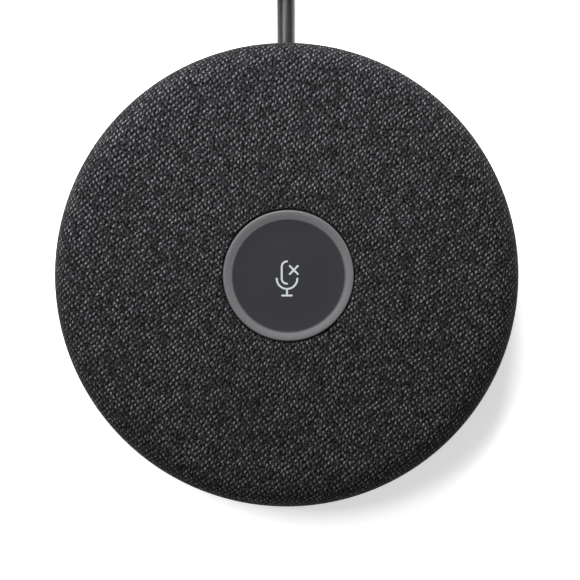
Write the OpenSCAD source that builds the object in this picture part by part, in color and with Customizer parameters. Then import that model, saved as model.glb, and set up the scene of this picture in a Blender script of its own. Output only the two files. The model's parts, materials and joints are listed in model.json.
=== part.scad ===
// Conference table microphone pod: a weighted round puck under a cloth cover,
// with a lit mute key in the middle and a captive cable that ends in a round
// push-pull plug. Millimetres, +Z up, +Y towards the cable, origin under the
// middle of the pod on the table.

/* [Overall] */
// Outside diameter over the cloth
pod_d = 102; // [90:1:130]
// Height from the table to the crown of the light ring
pod_h = 21; // [20.5:0.5:27]

/* [Cloth and top shell] */
// Thickness of the woven cloth
cloth_t = 0.7; // [0.5:0.05:0.9]
// Wall of the top shell under the cloth
shell_t = 1.8; // [1.4:0.1:2.2]
// Radius of the rounded rim, measured on the cloth
edge_r = 6.2; // [6:0.1:7.6]
// Height of the widest point of the rim
edge_z = 12.2; // [11.5:0.1:12.8]
// How far the shell's lower rim lies under the widest point
rim_drop = 3.2; // [2.6:0.1:3.4]
// How far the cloth's crown lies under the top of the light ring
crown_drop = 0.1; // [0:0.05:0.3]
// Height of the ring that pins the hem against the rim
hem_ring_h = 1; // [0.8:0.1:1.4]
// Radial width of that ring
hem_ring_w = 1.3; // [1:0.1:1.6]

/* [Base] */
// Height of the base's underside over the table
base_z = 0.9; // [0.6:0.1:1.2]
// Wall of the base
base_t = 2; // [1.6:0.1:2.4]
// Radius of the base's curved flank
base_edge_r = 8; // [7:0.5:9.5]
// How far the flat underside stops inside the pod's outline
base_inset = 10; // [9.5:0.5:12]
// Thickness of the rubber foot ring
foot_t = 1.8; // [1.4:0.1:2.1]
// Radial width of the foot ring
foot_w = 10; // [9:0.5:14]
// How far the foot ring stops inside the pod's outline
foot_inset = 11; // [11:0.5:13]
// Thickness of the steel ballast plate
ballast_t = 2.5; // [2:0.1:3]
// How far the ballast plate stops inside the pod's outline
ballast_inset = 13; // [12:0.5:16]

/* [Mute key] */
// Diameter of the key's dark disc
key_d = 25; // [22:0.5:30]
// Width of the light ring round the disc
ring_w = 1.7; // [1.4:0.1:2.1]
// Shadow gap between the light ring and the cloth
ring_gap = 0.35; // [0.3:0.05:0.5]
// Travel of the key
key_travel = 0.5; // [0.3:0.05:0.6]
// Thickness of the key's disc
cap_t = 1.4; // [1.1:0.1:1.7]
// How far the disc lies under the crown of the light ring
cap_drop = 0.25; // [0.15:0.05:0.35]
// Line width of the mute symbol
icon_line = 0.4; // [0.34:0.02:0.5]
// Depth of the mute symbol in the disc
icon_t = 0.3; // [0.2:0.05:0.5]

/* [Boards] */
// Thickness of the circuit boards
board_t = 1.2; // [1:0.1:1.6]
// Height of the main board's underside
board_z = 7.6; // [7.2:0.1:8.2]
// How far the main board stops inside the pod's outline
board_inset = 13; // [12:0.5:16]
// How far the microphones sit inside the pod's outline
mic_inset = 14; // [13:0.5:17]
// Radius of the sound port over each microphone
port_r = 0.75; // [0.5:0.05:1]
// Number of lamps under the light ring
led_count = 12; // [8:1:16]

/* [Cable and plug] */
// Diameter of the cable
cord_d = 3.9; // [3.4:0.1:4.7]
// Turns of the coiled cable
coil_turns = 18.75; // [10.75:1:18.75]
// Layers in the coil
coil_layers = 4; // [3:1:5]
// Thickness of the straps that tie the coil
tie_t = 0.8; // [0.6:0.1:1.2]
// Diameter of the plug's barrel
plug_d = 12.6; // [11.4:0.2:15]
// Diameter of the plug's nose, the end that enters the socket
nose_d = 9; // [8:0.1:9.6]
// Length of the nose past the release ring
nose_l = 8; // [6:0.5:10]
// Travel of the release ring
release_travel = 1.5; // [1:0.1:2]

/* [Hidden] */
$fn = 96;
eps = 0.01;

// Outline of the pod
pod_r = pod_d / 2;
edge_c = pod_r - edge_r;                 // middle of the rim's arc, from the axis
crown_z = pod_h - crown_drop;            // cloth's height, carried to the axis
crown_a = crown_z - edge_z;
dome_r = (edge_c * edge_c + crown_a * crown_a - edge_r * edge_r) / (2 * (crown_a - edge_r));
dome_c = crown_z - dome_r;               // middle of the crown's arc, on the axis
dome_end = 90 - asin(edge_c / (dome_r - edge_r));
rim_z = edge_z - rim_drop;               // shell's lower rim
hem_z = rim_z - cloth_t;                 // underside of the turned hem
shell_in = cloth_t + shell_t;            // depth of the shell's inner face

// Heights in the base
base_floor = base_z + base_t;
base_top = hem_z - hem_ring_h;
base_flat_r = pod_r - base_inset;
base_arc_z = base_z + base_edge_r;
foot_gap = 0.1;                          // play of the foot ring in its recess
board_top = board_z + board_t;
ballast_top = base_floor + ballast_t;

// Mute key stack, from the top down
key_r = key_d / 2;
ring_r = key_r + ring_w;
open_r = ring_r + ring_gap;              // edge of the cloth round the key
neck_r = open_r + cloth_t;               // top shell's opening
cap_top = pod_h - cap_drop;
carrier_top = cap_top - cap_t;
carrier_t = 1;
carrier_z = carrier_top - carrier_t;
switch_gap = 0.9;                        // carrier down to the top of the switch
switch_h = 1.6;
plunger_up = 0.5;
key_board_top = carrier_z - switch_gap - plunger_up - switch_h;
key_board_z = key_board_top - board_t;
seat_z = crown_z - shell_in - 0.5;       // flat underside of the shell round the key
led_r = key_r + ring_w / 2;
led_w = 1.8;
led_h = 0.7;
guide_z = key_board_top + led_h + key_travel + 0.3;   // light ring's lower end
leg_r = key_r - 3.3;                     // middle of the carrier's legs
leg_w = 3;
leg_t = 1.2;
barb_t = 0.7;
barb_h = 0.9;
leg_gap = 0.3;                           // play round a leg in its slot
boss_gap = 0.3;                          // play of boards and plates round bosses
key_boss_r = open_r + 5.2;
key_board_r = key_boss_r + 2.6;

// Screw places: radius from the axis, and angles
case_screw_r = pod_r - 18;
case_angles = [30, 150, 270];
case_boss = 3.2;
board_screw_r = pod_r - 27;
board_angles = [0, 120, 240];
board_boss = 2.6;
ballast_screw_r = pod_r - 21;
ballast_angles = [60, 180, 300];
key_boss = 2.3;
key_angles = [60, 180, 300];
boss_meet = board_z - 0.6;               // where base and shell bosses meet

// Screws: shank radius, head radius and head height
case_screw = [1.25, 2.3, 1.6];
small_screw = [1, 1.9, 1.2];
tiny_screw = [0.8, 1.5, 1];

// Microphones
mic_r = pod_r - mic_inset;
mic_angles = [45, 135, 225, 315];
pad_r = 4.2;
pad_z = crown_height(shell_in, mic_r + pad_r) - 0.4;
gasket_t = 1;
mic_board_t = 0.8;
mic_h = 1;
mic_header = 5.6;                        // microphone down to its header's inner face, radially

// Cable: exit, inner end and clamp
cord_r = cord_d / 2;
exit_y = pod_r - 1;
exit_lift = 2.4;
cord_z = exit_lift + cord_r;
spout_y = pod_r - 2.2;
spout_w = cord_d + 6;
gland_r = cord_r + 0.75;
gland_y = pod_r - 10.5;
cord_play = 0.1;                         // play of the cable in the channel in the floor
plate_t = 1.5;
clamp_y = pod_r - 17;
clamp_w = 4;
clamp_t = 1.4;
clamp_top = cord_z + cord_r + clamp_t;
clamp_x = cord_r + 4.05;
post_r = 2.2;
cable_end_y = pod_r - 22;
notch_w = 2 * (clamp_x + post_r + 1.3);
notch_y = pod_r - 26.2;
header_y = notch_y - 0.5;                // cable header's face towards the notch

// Route of the cable from the pod to its coil: across, along, and height over
// lying on the table
lead_route = [
  [0, 0, 2.4], [0, 4, 2.4], [0, 8, 2.25], [0, 12, 1.9], [0.3, 16, 1.5], [1.1, 20, 1.1],
  [2.3, 24, 0.7], [3.7, 28, 0.4], [5.1, 32, 0.2], [6.3, 36, 0.1], [7.2, 40, 0.2],
  [7.8, 44, 0.5], [8, 48, 0.75], [8, 50, 0.8]
];
lead_end = lead_route[len(lead_route) - 1];

// Coil: its layers lie on each other, and its turns side by side
layer_turns = coil_turns / coil_layers;
coil_mid_r = 6 * cord_d;
coil_out_r = coil_mid_r + layer_turns * cord_d / 2;
coil_in_r = coil_mid_r - layer_turns * cord_d / 2;
coil_c = [lead_end[0] - coil_out_r, exit_y + lead_end[1]];
coil_z = tie_t;
coil_h = coil_layers * cord_d;
tie_angles = [105, 225];
tie_w = 9;

// Route from the coil to the plug: across, along, and share of the drop left
tail_route = [
  [0, 0, 1], [7, 0, 0.98], [14, 0.2, 0.92], [21.5, 0.7, 0.82], [28.5, 1.5, 0.68],
  [35, 2.5, 0.53], [41, 5, 0.38], [46, 9, 0.24], [50, 14, 0.12], [52.5, 20, 0.04],
  [53.5, 26.5, 0], [53.5, 29, 0]
];
tail_end = tail_route[len(tail_route) - 1];
tail_top = coil_z + coil_h - cord_r;

// Plug, from the cable towards the nose
plug_r = plug_d / 2;
plug_z = plug_r + 0.05;
plug_x = coil_c[0] + tail_end[0];
plug_y = coil_c[1] - coil_out_r + tail_end[1];
relief_l = 15;
barrel_l = 10;
sleeve_l = 9;                            // thinner part that carries the release ring
nose_r = nose_d / 2;
root_r = nose_r + 0.2;                    // nose inside the barrel
sleeve_r = root_r + 0.5;
ring_play = 0.08;                        // running clearance of the release ring
release_l = sleeve_l - release_travel - 0.2;
barrel_y = plug_y + relief_l;
sleeve_y = barrel_y + barrel_l;
nose_y = sleeve_y + sleeve_l;
contact_r = 0.45;

// Height of the pod's crown at a depth under the cloth and a radius
function crown_height(depth, r) = dome_c + sqrt(pow(dome_r - depth, 2) - r * r);

function arc(c, r, a0, a1, n) =
  [for (i = [0:n]) let (a = a0 + (a1 - a0) * i / n) [c[0] + r * cos(a), c[1] + r * sin(a)]];

// Crown and rim at a depth under the cloth, from a radius near the axis down to a height
function pod_outline(depth, r0, z_end) =
  let (rd = dome_r - depth, re = edge_r - depth)
  concat(
    arc([0, dome_c], rd, acos(r0 / rd), dome_end, 8),
    [for (i = [1:16])
      let (a = dome_end + (-asin((edge_z - z_end) / re) - dome_end) * i / 16)
      [edge_c + re * cos(a), edge_z + re * sin(a)]]
  );

function reversed(v) = [for (i = [len(v) - 1:-1:0]) v[i]];
function unit(v) = v / norm(v);

// Rings of a tube along points, square to the way the points run
function tube_rings(pts, r, sides, side_axis) = [
  for (i = [0:len(pts) - 1])
    let (
      a = pts[max(i - 1, 0)],
      b = pts[min(i + 1, len(pts) - 1)],
      along = unit(b - a),
      s = unit(cross(along, side_axis)),
      u = cross(s, along)
    )
    for (k = [0:sides - 1])
      pts[i] + r * (cos(360 * k / sides) * s + sin(360 * k / sides) * u)
];

module tube(pts, d, sides, side_axis) {
  n = len(pts);
  polyhedron(
    points = tube_rings(pts, d / 2, sides, side_axis),
    faces = concat(
      [[for (k = [0:sides - 1]) k]],
      [for (i = [0:n - 2], k = [0:sides - 1]) let (l = (k + 1) % sides)
        [i * sides + l, i * sides + k, (i + 1) * sides + k, (i + 1) * sides + l]],
      [[for (k = [sides - 1:-1:0]) (n - 1) * sides + k]]
    )
  );
}

module around(angles, r) {
  for (a = angles) rotate([0, 0, a]) translate([r, 0, 0]) children();
}

module ring(r_in, r_out, z0, z1) {
  rotate_extrude() translate([r_in, z0]) square([r_out - r_in, z1 - z0]);
}

// A screw with its head's bearing face at z = 0 and its shank upwards
module screw(size, length) {
  root = size[2] / 4;
  translate([0, 0, -root]) cylinder(r = size[0], h = length + root, $fn = 32);
  difference() {
    translate([0, 0, -size[2]]) cylinder(r = size[1], h = size[2], $fn = 32);
    translate([0, 0, -size[2] - eps]) cylinder(r = size[0] * 0.8, h = size[2] * 0.6, $fn = 6);
  }
}

// The same, hanging down from z = 0
module screw_down(size, length) {
  mirror([0, 0, 1]) screw(size, length);
}

module block(x0, x1, y0, y1, z0, z1) {
  translate([x0, y0, z0]) cube([x1 - x0, y1 - y0, z1 - z0]);
}

// Along +Y from y0 to y1, at the cable's height
module cable_bore(r, y0, y1) {
  translate([0, y0, cord_z]) rotate([-90, 0, 0]) cylinder(r = r, h = y1 - y0, $fn = 48);
}

module foot_ring() color("#1c1c1d") {
  r1 = pod_r - foot_inset - foot_gap;
  r0 = pod_r - foot_inset - foot_w + foot_gap;
  rotate_extrude() polygon([
    [r0, base_z], [r0 + 0.5, 0], [r1 - 0.5, 0], [r1, base_z], [r1, foot_t], [r0, foot_t]
  ]);
}

module base_shell() color("#222223") difference() {
  union() {
    rotate_extrude() polygon(concat(
      [[0, base_floor], [0, base_z]],
      arc([base_flat_r, base_arc_z], base_edge_r, -90, -asin((base_arc_z - base_top) / base_edge_r), 14),
      reversed(arc([base_flat_r, base_arc_z], base_edge_r - base_t, -90,
        -asin((base_arc_z - base_top) / (base_edge_r - base_t)), 14))
    ));
    intersection() {
      block(-spout_w / 2, spout_w / 2, gland_y, pod_r, base_z, base_top);
      translate([0, 0, base_z]) cylinder(r = spout_y, h = base_top - base_z);
    }
    around(case_angles, case_screw_r)
      translate([0, 0, base_z + 0.5]) cylinder(r = case_boss, h = boss_meet - base_z - 0.5, $fn = 48);
    around(board_angles, board_screw_r)
      translate([0, 0, base_floor - 0.5]) cylinder(r = board_boss, h = board_z - base_floor + 0.5, $fn = 48);
    for (s = [-1, 1])
      translate([s * clamp_x, clamp_y, base_floor - 0.5])
        cylinder(r = post_r, h = cord_z + cord_r - base_floor + 0.5, $fn = 48);
  }
  ring(pod_r - foot_inset - foot_w, pod_r - foot_inset, base_z - 1, foot_t);
  around(case_angles, case_screw_r) {
    translate([0, 0, foot_t - eps]) cylinder(r = case_screw[1] + 0.2, h = 1.8 + eps, $fn = 48);
    cylinder(r = case_screw[0] + 0.1, h = board_z, $fn = 48);
  }
  around(board_angles, board_screw_r)
    translate([0, 0, base_floor + 1]) cylinder(r = small_screw[0], h = board_z, $fn = 32);
  around(ballast_angles, ballast_screw_r)
    translate([0, 0, base_z + 1]) cylinder(r = small_screw[0], h = base_t, $fn = 32);
  for (s = [-1, 1])
    translate([s * clamp_x, clamp_y, base_floor + 0.3]) cylinder(r = small_screw[0], h = board_z, $fn = 32);
  cable_bore(cord_r + cord_play, cable_end_y - 1, gland_y + 1);
  cable_bore(gland_r, gland_y, pod_r);
  block(-gland_r, gland_r, gland_y - 1, pod_r, cord_z, base_top + 1);
}

module base_screws() color("#3a3a3c") around(case_angles, case_screw_r)
  translate([0, 0, foot_t + 1.8]) screw(case_screw, 10);

module ballast_plate() color("#8d9094") difference() {
  translate([0, 0, base_floor]) cylinder(r = pod_r - ballast_inset, h = ballast_t);
  translate([0, 0, base_floor - 1]) cylinder(r = 8, h = ballast_t + 2);
  around(case_angles, case_screw_r) cylinder(r = case_boss + boss_gap, h = board_z, $fn = 48);
  around(board_angles, board_screw_r) cylinder(r = board_boss + boss_gap, h = board_z, $fn = 48);
  around(ballast_angles, ballast_screw_r) cylinder(r = small_screw[0] + 0.1, h = board_z, $fn = 32);
  block(-notch_w / 2, notch_w / 2, notch_y, pod_r, 0, board_z);
}

module ballast_screws() color("#b9bbbd") around(ballast_angles, ballast_screw_r)
  translate([0, 0, ballast_top]) screw_down(small_screw, ballast_t + base_t - 1.1);

module main_board() color("#1f5a3a") difference() {
  translate([0, 0, board_z]) cylinder(r = pod_r - board_inset, h = board_t);
  around(case_angles, case_screw_r)
    translate([0, 0, board_z - 1]) cylinder(r = case_boss + boss_gap, h = board_t + 2, $fn = 48);
  around(board_angles, board_screw_r)
    translate([0, 0, board_z - 1]) cylinder(r = small_screw[0] + 0.1, h = board_t + 2, $fn = 32);
  block(-notch_w / 2, notch_w / 2, notch_y, pod_r, board_z - 1, board_top + 1);
}

module board_screws() color("#b9bbbd") around(board_angles, board_screw_r)
  translate([0, 0, board_top]) screw_down(small_screw, board_t + 3);

module shield_can() color("#c4c7ca") difference() {
  block(6, 21, -16, -3, board_top, board_top + 2);
  block(6.3, 20.7, -15.7, -3.3, board_top - 1, board_top + 1.7);
}

module processor_chips() color("#19191b") {
  block(10, 17, -13, -6, board_top, board_top + 0.9);
  block(-16, -8, -8, 0, board_top, board_top + 1);
  block(-6, -1, 4, 9, board_top, board_top + 0.9);
  block(14, 20, 6, 10, board_top, board_top + 1.2);
}

module capacitors() color("#a9adb2") {
  places = [[-16, 6], [-20.5, 2], [-5, -6], [-5, -11.5], [6, 5], [10.5, 5]];
  for (p = places) translate([p[0], p[1], board_top]) cylinder(r = 1.9, h = 2.6, $fn = 32);
}

// Headers on the main board for the cable, the key board and the microphones
module board_headers() color("#e8e4d8") {
  block(-6, 6, header_y - 5, header_y, board_top, board_top + 0.6);
  block(-4.2, 4.2, -23.5, -20.5, board_top, board_top + 1.6);
  around(mic_angles, mic_r - mic_header)
    block(0, 3, -3, 3, board_top, board_top + 1.6);
}

module mic_boards() color("#1f5a3a") around(mic_angles, mic_r) difference() {
  translate([0, 0, pad_z - gasket_t - mic_board_t]) cylinder(r = pad_r, h = mic_board_t, $fn = 48);
  cylinder(r = 0.4, h = pod_h, $fn = 24);
}

module microphones() color("#c9b27a") around(mic_angles, mic_r)
  block(-1.35, 1.35, -1.75, 1.75, pad_z - gasket_t - mic_board_t - mic_h, pad_z - gasket_t - mic_board_t);

module mic_gaskets() color("#2a2a2c") around(mic_angles, mic_r) difference() {
  translate([0, 0, pad_z - gasket_t]) cylinder(r = pad_r - 0.2, h = gasket_t, $fn = 48);
  cylinder(r = port_r, h = pod_h, $fn = 24);
}

// A flat lead: along from x0 to x1 under z_top, down to z_low, and on to x2
module flat_lead(x0, x1, x2, z_top, z_low, thick, width) {
  rotate([90, 0, 0]) translate([0, 0, -width / 2]) linear_extrude(width) polygon([
    [x0, z_top], [x1 - thick, z_top], [x1 - thick, z_low], [x2, z_low],
    [x2, z_low + thick], [x1, z_low + thick], [x1, z_top - thick], [x0, z_top - thick]
  ]);
}

// Flat leads from the microphone boards down to the main board
module mic_flexes() color("#b8792f") around(mic_angles, mic_r)
  flat_lead(-2.4, -mic_header - 0.6, -mic_header, pad_z - gasket_t - mic_board_t, board_top + 0.8, 0.2, 4);

module key_board() color("#1f5a3a") difference() {
  translate([0, 0, key_board_z]) cylinder(r = key_board_r, h = board_t);
  around(key_angles, key_boss_r)
    translate([0, 0, key_board_z - 1]) cylinder(r = tiny_screw[0] + 0.1, h = board_t + 2, $fn = 32);
  around([90, 210, 330], leg_r)
    block(-leg_t / 2 - leg_gap, leg_t / 2 + barb_t + leg_gap, -leg_w / 2 - leg_gap, leg_w / 2 + leg_gap,
      key_board_z - 1, key_board_top + 1);
}

module key_board_screws() color("#b9bbbd") around(key_angles, key_boss_r)
  translate([0, 0, key_board_z]) screw(tiny_screw, board_t + seat_z - key_board_top);

// Flat lead from under the key board to its header on the main board
module key_flex() color("#b8792f") rotate([0, 0, 90])
  flat_lead(-14, -25, -23.5, key_board_z, board_top + 0.8, 0.25, 6);

module ring_leds() color("#f2efe2") around([for (i = [0:led_count - 1]) 360 * i / led_count], led_r)
  block(-led_w / 2, led_w / 2, -led_w / 2, led_w / 2, key_board_top, key_board_top + led_h);

module light_baffle() color("#f0f0ee")
  ring(key_r - 1.3, key_r - 0.4, key_board_top, carrier_z - key_travel - 0.2);

module key_well() color("#161617") ring(open_r, open_r + 2, key_board_top, seat_z);

module switch_body() color("#2b2b2d") difference() {
  block(-3, 3, -3, 3, key_board_top, key_board_top + switch_h);
  translate([0, 0, key_board_top + 0.5]) cylinder(r = 1.8, h = switch_h, $fn = 48);
}

module switch_plunger() color("#9a9a96") translate([0, 0, key_board_top + 0.5 + key_travel + 0.1])
  cylinder(r = 1.7, h = switch_h + plunger_up - 0.6 - key_travel, $fn = 48);

// Rubber dome round the switch that lifts the key back
module key_dome() color("#d8d8d2") {
  z0 = key_board_top;
  z1 = carrier_z;
  rotate_extrude() polygon([
    [5.2, z0], [7.4, z0], [7.4, z0 + 0.6], [6.6, z0 + 0.8], [6.3, z1 - 0.8], [6.6, z1],
    [5.2, z1], [5.5, z1 - 0.9], [5.9, z0 + 0.8], [5.2, z0 + 0.6]
  ]);
}

// White plate under the key's disc, with a pusher for the switch and three snap legs
module key_carrier() color("#e4e4e0") {
  translate([0, 0, carrier_z]) cylinder(r = key_r, h = carrier_t);
  translate([0, 0, carrier_z - switch_gap]) cylinder(r = 1.5, h = switch_gap + 0.2, $fn = 48);
  around([90, 210, 330], leg_r) rotate([90, 0, 0]) translate([0, 0, -leg_w / 2]) linear_extrude(leg_w) {
    z = key_board_z - 0.3;
    polygon([
      [-leg_t / 2, carrier_z + 0.2], [-leg_t / 2, z - barb_h], [leg_t / 2, z - barb_h],
      [leg_t / 2 + barb_t, z - 0.2], [leg_t / 2 + barb_t, z], [leg_t / 2, z], [leg_t / 2, carrier_z + 0.2]
    ]);
  }
}

// A line with round ends
module stroke(a, b) {
  way = b - a;
  translate(a) circle(d = icon_line, $fn = 24);
  translate(b) circle(d = icon_line, $fn = 24);
  translate(a) rotate(atan2(way[1], way[0]))
    translate([0, -icon_line / 2]) square([norm(way), icon_line]);
}

// Part of a circle drawn as a line, from angle a0 to a1
module bent_stroke(c, r, a0, a1) {
  n = 10;
  for (p = [for (i = [0, n]) let (a = a0 + (a1 - a0) * i / n) c + r * [cos(a), sin(a)]])
    translate(p) circle(d = icon_line, $fn = 24);
  polygon(concat(
    arc(c, r + icon_line / 2, a0, a1, n),
    arc(c, r - icon_line / 2, a1, a0, n)
  ));
}

// Generic mute symbol: half a microphone capsule, its cradle and stand, and a cross
module mute_symbol() {
  axis_x = -0.32;
  capsule_r = 1.15;
  capsule_top = 3.1;
  capsule_low = -1.75;
  cradle_r = 2.25;
  cradle_y = -0.63;
  foot_y = -4.3;
  foot_half = 1.05;
  cross_c = [1.15, 1.23];
  cross_half = 0.87;
  stroke([axis_x - capsule_r, capsule_top - capsule_r], [axis_x - capsule_r, capsule_low + capsule_r]);
  bent_stroke([axis_x, capsule_top - capsule_r], capsule_r, 90, 180);
  bent_stroke([axis_x, capsule_low + capsule_r], capsule_r, 180, 270);
  bent_stroke([axis_x, cradle_y], cradle_r, 180, 360);
  stroke([axis_x, cradle_y - cradle_r], [axis_x, foot_y]);
  stroke([axis_x - foot_half, foot_y], [axis_x + foot_half, foot_y]);
  stroke(cross_c - [cross_half, cross_half], cross_c + [cross_half, cross_half]);
  stroke(cross_c + [-cross_half, cross_half], cross_c + [cross_half, -cross_half]);
}

// The disc is flat round the symbol and rises a little to its edge
module key_cap() color("#3b3b3e") difference() {
  rotate_extrude() polygon([
    [0, carrier_top], [key_r, carrier_top], [key_r, cap_top], [key_r - 1.5, cap_top - 0.08],
    [key_r - 4.5, cap_top - 0.15], [0, cap_top - 0.15]
  ]);
  translate([0, 0, cap_top - 0.15 - icon_t]) linear_extrude(icon_t + 1) mute_symbol();
}

module mute_icon() color("#dfe2e2")
  translate([0, 0, cap_top - 0.15 - icon_t]) linear_extrude(icon_t + 0.02) mute_symbol();

// Frosted light guide with a crowned top
module light_ring() color("#8e8e92") {
  rise = cap_drop;
  half = ring_w / 2;
  r = (half * half + rise * rise) / (2 * rise);
  a = asin(half / r);
  rotate_extrude() polygon(concat(
    [[key_r, guide_z], [ring_r - 0.15, guide_z], [ring_r - 0.15, cap_top - 1.2], [ring_r, cap_top - 1]],
    arc([led_r, pod_h - r], r, 90 - a, 90 + a, 12)
  ));
}

module top_shell() color("#29292b") difference() {
  union() {
    rotate_extrude() polygon(concat(
      [[neck_r, seat_z]],
      pod_outline(cloth_t, neck_r, rim_z),
      reversed(pod_outline(shell_in, key_board_r, rim_z)),
      [[key_board_r, seat_z]]
    ));
    case_boss_top = crown_height(shell_in, case_screw_r + case_boss) + 0.8;
    around(case_angles, case_screw_r) translate([0, 0, boss_meet])
      cylinder(r = case_boss, h = case_boss_top - boss_meet, $fn = 48);
    around(key_angles, key_boss_r) translate([0, 0, key_board_top])
      cylinder(r = key_boss, h = seat_z - key_board_top + 0.8, $fn = 48);
    around(mic_angles, mic_r) translate([0, 0, pad_z])
      cylinder(r = pad_r, h = 1.2, $fn = 48);
  }
  around(case_angles, case_screw_r) translate([0, 0, boss_meet - 1])
    cylinder(r = case_screw[0], h = 8, $fn = 32);
  around(key_angles, key_boss_r) translate([0, 0, key_board_top - 1])
    cylinder(r = tiny_screw[0], h = seat_z - key_board_top + 1.3, $fn = 32);
  around(mic_angles, mic_r) cylinder(r = port_r, h = pod_h, $fn = 32);
}

// Woven cover: over the shell, down round the key and under the rim
module fabric_cover() color("#3c3c3f") {
  hem_in = pod_r - 4.2;
  rotate_extrude() polygon(concat(
    [[open_r, seat_z], [open_r, crown_height(0, open_r) - 0.35]],
    pod_outline(0, open_r + 0.35, hem_z),
    [[hem_in, hem_z], [hem_in, rim_z]],
    reversed(pod_outline(cloth_t, neck_r, rim_z)),
    [[neck_r, seat_z]]
  ));
}

module hem_ring() color("#19191a") difference() {
  r = pod_r - 2.8;
  ring(r - hem_ring_w, r, base_top, hem_z);
  cable_bore(gland_r + cord_play, gland_y, pod_r);
}

// Rubber grommet: a plate inside the wall, a neck in the slot and a short lip outside
module cable_gland() color("#1a1a1b") difference() {
  union() {
    cable_bore(gland_r, gland_y, spout_y);
    block(-gland_r, gland_r, gland_y, spout_y, cord_z, base_top);
    block(-gland_r - 1.2, gland_r + 1.2, gland_y - plate_t, gland_y, base_floor, base_top);
    translate([0, spout_y - 0.4, cord_z]) rotate([-90, 0, 0])
      cylinder(r1 = gland_r, r2 = cord_r + 0.35, h = exit_y - spout_y + 0.4, $fn = 48);
  }
  cable_bore(cord_r, gland_y - 3, pod_r + 1);
}

module cable_clamp() color("#b4b7ba") difference() {
  block(-clamp_x - post_r, clamp_x + post_r, clamp_y - clamp_w / 2, clamp_y + clamp_w / 2,
    clamp_top - clamp_t, clamp_top);
  for (s = [-1, 1])
    translate([s * clamp_x, clamp_y, 0]) cylinder(r = small_screw[0] + 0.1, h = pod_h, $fn = 32);
}

module clamp_screws() color("#b9bbbd") for (s = [-1, 1])
  translate([s * clamp_x, clamp_y, clamp_top])
    screw_down(small_screw, clamp_top - base_floor - 0.5);

module inner_cable() color("#2a2a2c") cable_bore(cord_r, cable_end_y, exit_y);

// Six cores from the end of the jacket up to the plug on the main board
module harness_wires() {
  wire_d = 0.8;
  bundle_r = 1;
  pitch = 1.6;
  tones = ["#b03030", "#e8e8e8", "#3060a0", "#2f7a3f", "#c9a227", "#202020"];
  turns = [180, 120, 240, 60, 300, 0];
  z = board_top + 1.7;
  for (i = [0:5]) {
    x = (i - 2.5) * pitch;
    from_x = bundle_r * cos(turns[i]);
    from_z = bundle_r * sin(turns[i]);
    color(tones[i]) tube([
      [from_x, cable_end_y, cord_z + from_z], [from_x, cable_end_y - 0.5, cord_z + from_z],
      [(from_x + x) / 2, cable_end_y - 1.4, cord_z + 0.3 + from_z],
      [x, cable_end_y - 2.2, cord_z + 1.8 + from_z * 0.5], [x, cable_end_y - 2.6, z - 2.3],
      [x, cable_end_y - 2.9, z - 1.3], [x, cable_end_y - 3.5, z - 0.3], [x, cable_end_y - 4.2, z],
      [x, header_y, z]
    ], wire_d, 6, [1, 0, 0]);
  }
}

module harness_plug() color("#efece2")
  block(-5.6, 5.6, header_y - 4.6, header_y, board_top + 0.6, board_top + 2.9);

module cable_lead() color("#2b2b2d") translate([0, exit_y, 0])
  tube([for (p = lead_route) [p[0], p[1], p[2] + cord_r]], cord_d, 8, [0, 0, 1]);

module coil_section(grow) {
  r = coil_in_r - cord_r - grow;
  w = coil_out_r - coil_in_r + cord_d + 2 * grow;
  c = cord_r * 0.6 + grow;
  h = coil_h + 2 * grow;
  translate([r, coil_z - grow]) polygon([
    [c, 0], [w - c, 0], [w, c], [w, h - c], [w - c, h], [c, h], [0, h - c], [0, c]
  ]);
}

module cable_coil() color("#2b2b2d") translate([coil_c[0], coil_c[1], 0])
  rotate_extrude() coil_section(0);

module cable_tail() color("#2b2b2d") translate([coil_c[0], coil_c[1] - coil_out_r, 0])
  tube([for (p = tail_route) [p[0], p[1], plug_z + (tail_top - plug_z) * p[2]]], cord_d, 8, [0, 0, 1]);

module cable_ties() color("#1d1d1e") translate([coil_c[0], coil_c[1], 0])
  for (a = tie_angles) rotate([0, 0, a]) intersection() {
    rotate_extrude() difference() {
      coil_section(tie_t);
      coil_section(0);
    }
    block(0, 2 * coil_out_r, -tie_w / 2, tie_w / 2, -1, coil_h + 5);
  }

// Along the plug's axis from its own start, y measured from the end of the cable
module plug_turned() {
  translate([plug_x, plug_y, plug_z]) rotate([-90, 0, 0]) children();
}

// Ribbed rubber sleeve that keeps the cable from kinking
module plug_relief() color("#1c1c1d") plug_turned() difference() {
  union() {
    cylinder(r1 = cord_r + 0.7, r2 = plug_r - 2.2, h = relief_l);
    for (i = [0:3])
      translate([0, 0, 3 + 3 * i]) cylinder(r = cord_r + 1.4 + 0.45 * i, h = 1.6);
  }
  translate([0, 0, -eps]) cylinder(r = cord_r, h = 2);
}

module plug_barrel() color("#2e2f31") plug_turned() difference() {
  union() {
    translate([0, 0, relief_l]) cylinder(r = plug_r, h = barrel_l);
    translate([0, 0, relief_l + barrel_l - eps]) cylinder(r = sleeve_r, h = sleeve_l + eps);
  }
  translate([0, 0, relief_l + barrel_l - 1]) cylinder(r = root_r, h = sleeve_l + 2);
}

// Ring that is drawn back to unlock the plug
module release_ring() color("#a7a9ac") plug_turned()
  translate([0, 0, relief_l + barrel_l + release_travel + 0.2]) difference() {
    cylinder(r = plug_r, h = release_l);
    translate([0, 0, -1]) cylinder(r = sleeve_r + ring_play, h = release_l + 2);
    for (a = [0:15:345]) rotate([0, 0, a]) translate([plug_r, 0, 1.4])
      cylinder(r = 0.35, h = release_l - 2.8, $fn = 6);
  }

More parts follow.
